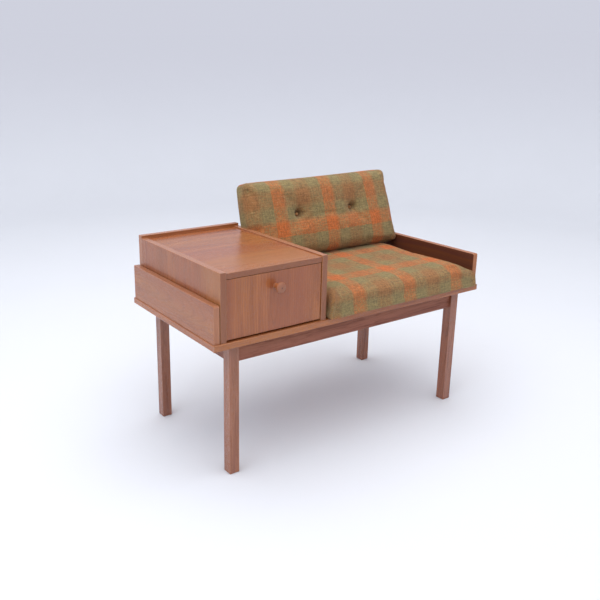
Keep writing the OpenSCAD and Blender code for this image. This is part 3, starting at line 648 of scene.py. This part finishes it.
cover = {
    # Cloth settings of both covers
    "quality": 4,
    "mass": 0.25,
    "tension_stiffness": 12,
    "compression_stiffness": 12,
    "bending_stiffness": 0.8,
    "use_pressure": True,
    "uniform_pressure_force": 4.0,
}
lastFrame = 20  # of the covers' filling out
seatPad = {
    "voxel": 0.006,
    "shrink": 0.003,
    "cornerRadius": 0.008,
    "topRadius": 0.02,
    "bottomRadius": 0.004,
    "overhang": 0.004,
    "height": 0.0665,
    "leftRise": 0.004,
    "leftReach": 0.2,
    "rightDrop": 0.013,
    "rightReach": 0.06,
    "rightFade": (0.2, 0.36, 0.7),  # from the front, where that drop fades, and its share
    "frontDrop": 0.003,
    "frontReach": 0.05,
    "rearRise": 0.014,
    "rearReach": 0.03,
    "rearLevels": (0.02, 0.06),
    "draw": 0.003,
    "spill": 0.0135,  # of the front right corner in front of the upstand
    "spillAhead": (0.0005, 0.005),  # of the upstand
    "spillReach": (0.06, 0.004),  # from the right end
    "spillLevels": (0.005, 0.04),
    "spillShares": (0.8, 0.27),  # at its foot, and what is added over these levels
    "pinned": 0.004,  # height below which the cover rests on the board
    "cap": 0.006,
    "arrisShare": 0.6,  # of topRadius, where the top begins to fall off
    "cell": 2,  # decimals of a metre: the top's height is looked up in squares of 10 mm
    "sideShare": (0.44, 0.56),  # where the cloth's run over the front turns to the side's
    "frontCloth": (-0.004, 0.002),  # in front of the upstand, all of it is the front's
    "stripes": (-0.037, -0.142),
}
backPad = {
    "voxel": 0.005,
    "shrink": -0.002,
    "lean": 18,
    "height": 0.245,
    "thickness": 0.05,
    "rearSwell": 0.0015,
    "reach": 0.131,  # of its lower front corner in front of the board's rear edge
    "lift": 0.080,  # of the same corner above the board
    "taper": (0.005, 0.013),
    "widen": 0.006,  # at the right, over the seat's end
    "settle": 0.002,  # of the upper left corner
    "overCabinet": 0.0085,  # swelling over the top of the cabinet's uprights
    "overLevels": (0.09, 0.118),
    "crown": 0.011,
    "cornerRadius": 0.016,
    "edgeRadius": 0.013,
    "rearRadius": 0.006,
    "pocketInset": 0.03,
    "pocketDepth": 0.011,
    "draw": 0.002,
    "fill": 0.005,  # of the middle of its ends
    "cap": 0.006,
    "tuftInset": 0.1745,
    "tuftUp": 0.132,
    "tuftDepth": 0.030,
    "tuftReach": 0.0145,
    "tuftShares": (0.8, 0.3),  # of the depth before and after the cover fills out
    "pitReach": 0.0095,
    "sewnReach": 0.009,
    "sewnLevel": -0.03,
    "heldShare": 0.72,  # of the thickness, behind which the cover is held
    "foldPlace": (0.0095, 0.0035),  # of the deep fold beside each button
    "foldDepth": 0.011,
    "foldReach": 0.0065,
    "folds": (
        # direction, length and depth of the folds that run from each button
        (-0.05, 0.020, 0.0050), (0.65, 0.020, 0.0034), (1.5, 0.022, 0.0032),
        (2.5, 0.022, 0.0030), (-2.3, 0.022, 0.0028), (-1.2, 0.024, 0.0026),
    ),
    "foldWidth": (0.0034, 0.16),  # at the button, and what it gains to the metre
    "foldTurn": 0.12,  # of the right button's folds against the left one's
    "foldStart": (0.002, 0.010),
    "foldLimit": 0.09,
    "fineReach": 0.045,  # round each button, where the mesh is finer
    "fineLevel": -0.035,  # over which the front is worked
    "stripes": (-0.2055, 0.0655),
    "stripeLean": 0.015,
    "leanReach": (0.02, 0.22),
    "frontLevel": -0.004,  # over which the cloth lies on the front
    "sideShare": (0.47, 0.53),
}


def startBlock(name, low, high, cornerRadius, topRadius, bottomRadius):
    # A box with rounded upright edges, then rounded top and bottom edges
    steps = 5
    clearSelection()
    low, high = Vector(low), Vector(high)
    bpy.ops.mesh.primitive_cube_add(size=1, location=(low + high) / 2)
    block = bpy.context.object
    block.name = name
    block.data.name = name
    block.scale = high - low
    bpy.ops.object.transform_apply(location=True, rotation=True, scale=True)
    pickParts(block, "EDGE", lambda a, b: abs(a.z - b.z) > (high.z - low.z) / 2)
    bpy.ops.mesh.bevel(offset=cornerRadius, segments=steps, affect="EDGES")
    for level, radius in ((high.z, topRadius), (low.z, bottomRadius)):
        pickParts(block, "EDGE", lambda a, b: abs(a.z - level) + abs(b.z - level) < 1e-6)
        bpy.ops.mesh.bevel(offset=radius, segments=steps, affect="EDGES")
    bpy.ops.object.mode_set(mode="OBJECT")
    return block


def moveEach(piece, rule):
    for v in piece.data.vertices:
        v.co = rule(v.co.copy())
    piece.data.update()


def inflate(piece, pinned, cap):
    # Cloth under pressure fills the cover out, by cap at most; it stays where pinned() says yes
    start = [v.co.copy() for v in piece.data.vertices]
    pins = piece.vertex_groups.new(name="pins")
    for v in piece.data.vertices:
        if pinned(v.co):
            pins.add([v.index], 1.0, "REPLACE")
    cloth = piece.modifiers.new("Cloth", "CLOTH")
    for name, value in cover.items():
        setattr(cloth.settings, name, value)
    cloth.settings.effector_weights.gravity = 0
    cloth.settings.vertex_group_mass = pins.name
    cloth.point_cache.frame_start = 1
    cloth.point_cache.frame_end = lastFrame
    for number in range(1, lastFrame + 1):
        bpy.context.scene.frame_set(number)
    pick(piece)
    bpy.ops.object.modifier_apply(modifier=cloth.name)
    bpy.context.scene.frame_set(1)
    for v, rest in zip(piece.data.vertices, start):
        move = v.co - rest
        if move.length > cap:
            v.co = rest + move * (cap / move.length)
    piece.vertex_groups.clear()


def recordPlaces(piece, places):
    made = piece.data.attributes.new(tweed["attribute"], "FLOAT_VECTOR", "POINT")
    made.data.foreach_set("vector", [x for p in places for x in p])


def seatPlaces(pad, low, high, edge):
    # The cloth runs over the top and down each side, from where the top begins to fall off
    s = seatPad
    arris = s["topRadius"] * s["arrisShare"]
    left, right, front, rear = low.x + arris, high.x - arris, low.y + arris, high.y - arris
    frontStart, frontEnd = s["frontCloth"]

    def cell(x, y):
        return round(x, s["cell"]), round(y, s["cell"])

    tops = {}
    for v in pad.data.vertices:
        here = cell(v.co.x, v.co.y)
        tops[here] = max(tops.get(here, 0), v.co.z)
    places = []
    for v in pad.data.vertices:
        p = v.co
        x, y = min(max(p.x, left), right), min(max(p.y, front), rear)
        outX, outY = p.x - x, p.y - y
        fall = max(0, tops.get(cell(x, y), p.z) - p.z) if outX or outY else 0
        lateral = smooth(*s["sideShare"], abs(outX) / (abs(outX) + abs(outY) + 1e-6))
        lateral *= 1 - smooth(frontStart - edge, frontEnd - edge, -p.y)
        places.append((p.x + math.copysign(fall * lateral, outX),
                       p.y + math.copysign(fall * (1 - lateral), outY), 0))
    return places


def makeSeatPad():
    nodeLow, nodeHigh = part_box("seat_cushion")
    s = seatPad
    low = Vector((nodeLow.x + s["shrink"], nodeLow.y - s["overhang"], nodeLow.z))
    high = Vector((nodeHigh.x - s["shrink"], nodeHigh.y - s["shrink"], nodeLow.z + s["height"]))
    pad = startBlock("seat_pad", low, high, s["cornerRadius"], s["topRadius"], s["bottomRadius"])
    applyModifier(pad, "REMESH", mode="VOXEL", voxel_size=s["voxel"])
    middle = (low + high) / 2
    half = (high - low) / 2

    def shaped(p):
        fromFront, fromRear, above = p.y - low.y, high.y - p.y, p.z - low.z
        rise = s["leftRise"] * (1 - smooth(0, s["leftReach"], p.x - low.x))
        fadeStart, fadeEnd, fade = s["rightFade"]
        kept = 1 - fade * smooth(fadeStart, fadeEnd, fromFront)
        rise -= s["rightDrop"] * (1 - smooth(0, s["rightReach"], high.x - p.x)) * kept
        rise -= s["frontDrop"] * (1 - smooth(0, s["frontReach"], fromFront))
        rearward = 1 - smooth(0, s["rearReach"], fromRear)
        rise += s["rearRise"] * rearward * smooth(*s["rearLevels"], above)
        p.z = low.z + above * (1 + rise / s["height"])
        across, along = (p.x - middle.x) / half.x, (p.y - middle.y) / half.y
        p.x -= s["draw"] * across ** 5 * (1 - along * along)
        p.y -= s["draw"] * along ** 5 * (1 - across * across)
        return p

    moveEach(pad, shaped)
    inflate(pad, lambda p: p.z < low.z + s["pinned"], s["cap"])
    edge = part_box("upstand_right")[0].y  # front of the upstand

    def between(p):
        # Held by the divider and the upstand, and swelling out in front of the latter
        aheadStart, aheadEnd = s["spillAhead"]
        ahead = smooth(aheadStart - edge, aheadEnd - edge, -p.y)
        farReach, nearReach = s["spillReach"]
        nearRight = smooth(nodeHigh.x - farReach, nodeHigh.x - nearReach, p.x)
        foot, more = s["spillShares"]
        share = foot + more * smooth(*s["spillLevels"], p.z - low.z)
        p.x = min(max(p.x, nodeLow.x), nodeHigh.x) + s["spill"] * ahead * nearRight * share
        p.z = max(p.z, nodeLow.z)
        return p

    moveEach(pad, between)
    applyModifier(pad, "SUBSURF", levels=1, render_levels=1)
    outward(pad)
    moveEach(pad, lambda p: Vector((p.x, p.y, max(p.z, nodeLow.z))))

    recordPlaces(pad, seatPlaces(pad, low, high, edge))
    pad.data.materials.append(makeTweed("seat", s["stripes"]))
    shadeSmooth(pad)
    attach(pad, "bench")
    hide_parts("seat_cushion")
    print("seat cushion:", len(pad.data.vertices), "points")


def slopeMatrix():
    # From the back cushion's own frame (X across, Y deeper, Z up its slope) to the bench's
    nodeLow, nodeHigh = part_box("back_cushion")
    corner = Vector(((nodeLow.x + nodeHigh.x) / 2, boardHigh.y - backPad["reach"],
                     boardHigh.z + backPad["lift"]))
    return Matrix.Translation(corner) @ Matrix.Rotation(-math.radians(backPad["lean"]), 4, "X")


def backPlaces(pad):
    # The cloth runs over the front and round each edge, on the ends sideways
    s = backPad
    places = []
    for v in pad.data.vertices:
        p = v.co
        deep = max(0, s["frontLevel"] - p.z)
        sideways = abs(v.normal.x) / (abs(v.normal.x) + abs(v.normal.y) + 1e-6)
        sideways = smooth(*s["sideShare"], sideways) if abs(v.normal.z) < 0.8 else 0
        lean = s["stripeLean"] * smooth(*s["leanReach"], p.x) * (p.y / s["height"])
        places.append((p.x + lean + math.copysign(deep * sideways, v.normal.x),
                       p.y + math.copysign(deep * (1 - sideways), v.normal.y), 0))
    return places


def makeBackPad():
    s = backPad
    nodeLow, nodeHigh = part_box("back_cushion")
    halfWidth = (nodeHigh.x - nodeLow.x) / 2
    low = Vector((-halfWidth + s["shrink"], 0, s["shrink"]))
    high = Vector((halfWidth - s["shrink"], s["thickness"] + s["rearSwell"],
                   s["height"] - s["shrink"]))
    # Modelled lying on its back, so that the front is its top, then stood up
    flatLow = Vector((low.x, low.z, -high.y))
    flatHigh = Vector((high.x, high.z, -low.y))
    pad = startBlock("back_pad", flatLow, flatHigh,
                     s["cornerRadius"], s["edgeRadius"], s["rearRadius"])
    pickParts(pad, "FACE", lambda c, n: n.z < -0.9)
    bpy.ops.mesh.inset(thickness=s["pocketInset"] - s["rearRadius"], depth=0)
    bpy.ops.mesh.extrude_region_move(TRANSFORM_OT_translate={"value": (0, 0, s["pocketDepth"])})
    bpy.ops.object.mode_set(mode="OBJECT")
    applyModifier(pad, "REMESH", mode="VOXEL", voxel_size=s["voxel"])
    tufts = [Vector((side * (halfWidth - s["tuftInset"]), s["tuftUp"])) for side in (-1, 1)]
    before, after = s["tuftShares"]

    def fromTuft(p):
        return min((p.xy - tuft).length for tuft in tufts)

    def shaped(p):
        up = p.y / s["height"]
        across, along = p.x / halfWidth, 2 * up - 1
        taper = s["taper"][0] if p.x < 0 else s["taper"][1]
        p.x += s["fill"] * across ** 5 * (1 - along * along) - across * taper * up
        p.x += s["widen"] * smooth(0.4, 1, across)
        p.x -= s["overCabinet"] * smooth(0.4, 1, -across) * smooth(*s["overLevels"], p.y)
        p.y -= s["settle"] * smooth(-0.3, 1, -across) * up
        p.y -= s["draw"] * along ** 5 * (1 - across * across)
        front = smooth(-s["thickness"] / 2, -s["edgeRadius"] / 2, p.z)
        p.z += front * s["crown"] * (1 - abs(across) ** 3) * (1 - abs(along) ** 3)
        for tuft in tufts:
            r = (p.xy - tuft).length
            p.z -= front * s["tuftDepth"] * before * math.exp(-(r / s["tuftReach"]) ** 1.4)
        return p

    def pinned(p):
        # The back, and where the buttons are sewn through
        held = p.z < -s["thickness"] * s["heldShare"]
        return held or (fromTuft(p) < s["sewnReach"] and p.z > s["sewnLevel"])

    def tufted(p):
        if p.z < s["fineLevel"]:
            return p
        for number, tuft in enumerate(tufts):
            away = p.xy - tuft
            r = away.length
            if r > s["foldLimit"]:
                continue
            angle = math.atan2(away.y, away.x)
            pit = s["tuftDepth"] * after * math.exp(-(r / s["pitReach"]) ** 2)
            beside = (away - Vector(s["foldPlace"])).length
            pit += s["foldDepth"] * math.exp(-(beside / s["foldReach"]) ** 2)
            width, gain = s["foldWidth"]
            width += gain * r
            folds = 0
            for at, long, deep in s["folds"]:
                turned = (angle - at - s["foldTurn"] * number + math.pi) % math.tau - math.pi
                folds += deep * math.exp(-(r * turned / width) ** 2) * math.exp(-(r / long) ** 2)
            p.z -= pit + folds * smooth(*s["foldStart"], r)
        return p

    moveEach(pad, shaped)
    inflate(pad, pinned, s["cap"])

    # Finer mesh round the tufts, then the sewn pits and the folds that run from them
    pickParts(pad, "FACE", lambda c, n: c.z > s["fineLevel"] and fromTuft(c) < s["fineReach"])
    bpy.ops.mesh.subdivide(number_cuts=1)
    bpy.ops.object.mode_set(mode="OBJECT")
    applyModifier(pad, "SUBSURF", levels=1, render_levels=1)
    moveEach(pad, tufted)
    outward(pad)
    recordPlaces(pad, backPlaces(pad))
    stand = Matrix.Rotation(math.radians(90), 4, "X")
    pad.data.transform(slopeMatrix() @ stand)
    pad.data.materials.append(makeTweed("back", s["stripes"]))
    shadeSmooth(pad)
    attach(pad, "bench")
    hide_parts("back_cushion")
    print("back cushion:", len(pad.data.vertices), "points")


# Covered buttons

button = {
    "diameter": 0.0125,
    "height": 0.0055,
    "widest": 0.35,  # level of the widest ring, as a share of the height
    "points": 56,
    "step": 15,  # degrees between the rings of its profile, which starts at -45
    "gathers": 14,
    "gatherDepth": 0.00025,
    "sunk": 0.0135,  # of its foot behind the cushion's front plane
    "stripes": 0.118,  # from its middle to the start of an orange stripe, both ways
}


def makeButton():
    # Foot, rounded rim and dome, each ring above the last, and the cloth gathered over the rim
    clearSelection()
    radius = button["diameter"] / 2
    foot = radius * math.cos(math.radians(45))
    bpy.ops.mesh.primitive_circle_add(vertices=button["points"], radius=foot, fill_type="NGON")
    piece = bpy.context.object
    pickParts(piece, "EDGE", lambda a, b: True)
    lifted, reached = 0.0, foot
    for degrees in range(-45 + button["step"], 90, button["step"]):
        turn = math.radians(degrees)
        share = button["widest"]
        if degrees > 0:
            share += (1 - share) * math.sin(turn)
        else:
            share *= 1 + math.sin(turn * 2)
        wide, high = radius * math.cos(turn), button["height"] * share
        bpy.ops.mesh.extrude_edges_move(TRANSFORM_OT_translate={"value": (0, 0, high - lifted)})
        bpy.ops.transform.resize(value=(wide / reached, wide / reached, 1))
        lifted, reached = high, wide
    bpy.ops.mesh.edge_face_add()
    bpy.ops.object.mode_set(mode="OBJECT")

    def gathered(p):
        r = math.hypot(p.x, p.y)
        if r > radius * 0.5:
            wave = math.cos(button["gathers"] * math.atan2(p.y, p.x))
            p.xy *= 1 + wave * button["gatherDepth"] / r * smooth(radius * 0.5, radius, r)
        return p

    moveEach(piece, gathered)
    outward(piece)
    applyModifier(piece, "SUBSURF", levels=1, render_levels=1)
    shadeSmooth(piece)
    return piece


def makeButtons():
    nodeLow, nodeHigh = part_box("back_cushion")
    fromMiddle = (nodeHigh.x - nodeLow.x) / 2 - backPad["tuftInset"]
    up = backPad["tuftUp"]
    stand = Matrix.Rotation(math.radians(90), 4, "X")
    model = makeButton()
    for name, across in (("back_button_left", -fromMiddle), ("back_button_right", fromMiddle)):
        piece = copyOf(model, "covered_" + name)
        recordPlaces(piece, [(v.co.x + across, v.co.y + up, 0) for v in piece.data.vertices])
        seat = Matrix.Translation((across, button["sunk"], up))
        piece.data.transform(slopeMatrix() @ seat @ stand)
        piece.data.materials.append(
            makeTweed(name, (across - button["stripes"], up - button["stripes"])))
        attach(piece, "bench")
        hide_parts(name)
    bpy.data.objects.remove(model)
    print("buttons")


# Slotted heads of the screws

screws = {
    "dome": 0.00045,
    "slotWidth": 0.2,  # share of the head's radius
    "slotDepth": 0.0007,
    "spacing": 0.012,
    "sunk": 0.001,  # of the head's foot in the screw's end
    "points": 32,
    "profile": ((1, 0.3), (0.9, 0.65), (0.68, 0.9), (0.35, 1)),  # shares of radius and dome
    "turns": (13, 47),  # of the first slot, and from each to the next, in degrees
}


def screwHeads(name, outwards):
    # Middle and radius of each head: the outer end of each group of points round one axis
    groups = []
    for v in frame["nodes"][name].data.vertices:
        lift = v.co.dot(outwards)
        flat = v.co - outwards * lift
        for group in groups:
            if (group[0] - flat).length < screws["spacing"]:
                group[1].append((flat, lift))
                break
        else:
            groups.append((flat, [(flat, lift)]))
    heads = []
    for _, points in groups:
        middle = sum((flat for flat, _ in points), Vector()) / len(points)
        top = max(lift for _, lift in points)
        radius = max((flat - middle).length for flat, _ in points)
        heads.append((middle + outwards * top, radius))
    return heads


def makeHead(radius):
    # A shallow domed disc, with the slot cut out of it
    clearSelection()
    bpy.ops.mesh.primitive_circle_add(vertices=screws["points"], radius=radius, fill_type="NGON")
    head = bpy.context.object
    head.data.transform(Matrix.Translation((0, 0, -screws["sunk"])))
    pickParts(head, "EDGE", lambda a, b: True)
    reached, lifted = 1.0, -screws["sunk"]
    for wide, high in screws["profile"]:
        level = high * screws["dome"]
        bpy.ops.mesh.extrude_edges_move(TRANSFORM_OT_translate={"value": (0, 0, level - lifted)})
        bpy.ops.transform.resize(value=(wide / reached, wide / reached, 1))
        reached, lifted = wide, level
    bpy.ops.mesh.edge_face_add()
    bpy.ops.object.mode_set(mode="OBJECT")
    outward(head)
    clearSelection()
    bpy.ops.mesh.primitive_cube_add(size=1, location=(0, 0, screws["dome"]))
    cutter = bpy.context.object
    cutter.scale = (radius * 2.4, radius * screws["slotWidth"], screws["slotDepth"] * 2)
    bpy.ops.object.transform_apply(location=True, rotation=True, scale=True)
    applyModifier(head, "BOOLEAN", object=cutter, operation="DIFFERENCE", solver="EXACT")
    bpy.data.objects.remove(cutter)
    return head


def makeScrewHeads():
    rearward, down = Vector((0, 1, 0)), Vector((0, 0, -1))
    rows = (
        ("cabinet_back_screws", rearward),
        ("plywood_screws", (slopeMatrix().to_3x3() @ rearward).normalized()),
        ("support_screws", down),
        ("cabinet_screws", down),
        ("upstand_screws", down),
        ("block_screws", down),
    )
    firstTurn, nextTurn = screws["turns"]
    models = {}
    count = 0
    for name, outwards in rows:
        turn = outwards.to_track_quat("Z", "Y").to_matrix().to_4x4()
        copies = []
        for place, radius in screwHeads(name, outwards):
            size = round(radius, 5)
            if size not in models:
                models[size] = makeHead(radius)
            head = copyOf(models[size], "head")
            spin = Matrix.Rotation(math.radians(firstTurn + nextTurn * count), 4, "Z")
            head.data.transform(Matrix.Translation(place) @ turn @ spin)
            copies.append(head)
            count += 1
        clearSelection()
        for head in copies:
            head.select_set(True)
        bpy.context.view_layer.objects.active = copies[0]
        bpy.ops.object.join()
        piece = bpy.context.object
        piece.name = "heads_" + name
        piece.data.materials.append(bpy.data.materials["steel"])
        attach(piece, "bench")
    for model in models.values():
        bpy.data.objects.remove(model)
    print("screw heads:", count)


# Finishes of the frame's own pieces

def dress(name, material):
    piece = frame["nodes"][name]
    if not piece.material_slots:
        piece.data.materials.append(material)
    for slot in piece.material_slots:
        slot.material = material


grains = {"teak_grain_x": "x", "teak_grain_y": "y", "teak_grain_z": "z"}
lippedFaces = {"upstand_left": 0, "upstand_right": 0, "cabinet_side": 0, "cabinet_divider": 0,
               "cabinet_back": 1, "cabinet_top": 2}
unpolished = ("upstand_right", "rail_front", "rail_left", "rail_rear", "rail_right")
# Legs get a darker, duller tone; rails too, where it is also painted shade under the base board's
# overhang
toneAndShadePieces = {"leg": 0.6, "rail": 0.8}  # by the first word of their names
innerFaces = {"upstand_right": -1, "upstand_left": 1}


def dressFrame():
    steel = makeSteel()
    for number, row in enumerate(frame["record"]["subparts"], 1):
        name, slot = row["node"], row["material_slot"]
        if name == "drawer_knob":
            dress(name, makeKnobWood())
        elif slot in grains:
            dress(name, makeTeak(name, grains[slot], number, lippedFaces.get(name),
                                 inner=innerFaces.get(name, 0),
                                 toneAndShade=toneAndShadePieces.get(name.split("_")[0], 0.0)))
        elif slot == "beech":
            low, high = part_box(name)
            size = high - low
            longest = max(range(3), key=lambda axis: size[axis])
            dress(name, makePlain(name, "beech", "xyz"[longest], number))
        elif slot == "hardboard":
            dress(name, makePlain(name, "hardboard", "x", number))
        elif slot == "plywood":
            dress(name, makePlywood())
        elif slot == "steel":
            dress(name, steel)
    print("finishes:", number, "pieces")


makeCamera()
makeSky()
makeLamps()
makeFloor()
print("camera, lights and floor")
dressFrame()
makeSeatPad()
makeBackPad()
makeButtons()
makeScrewHeads()
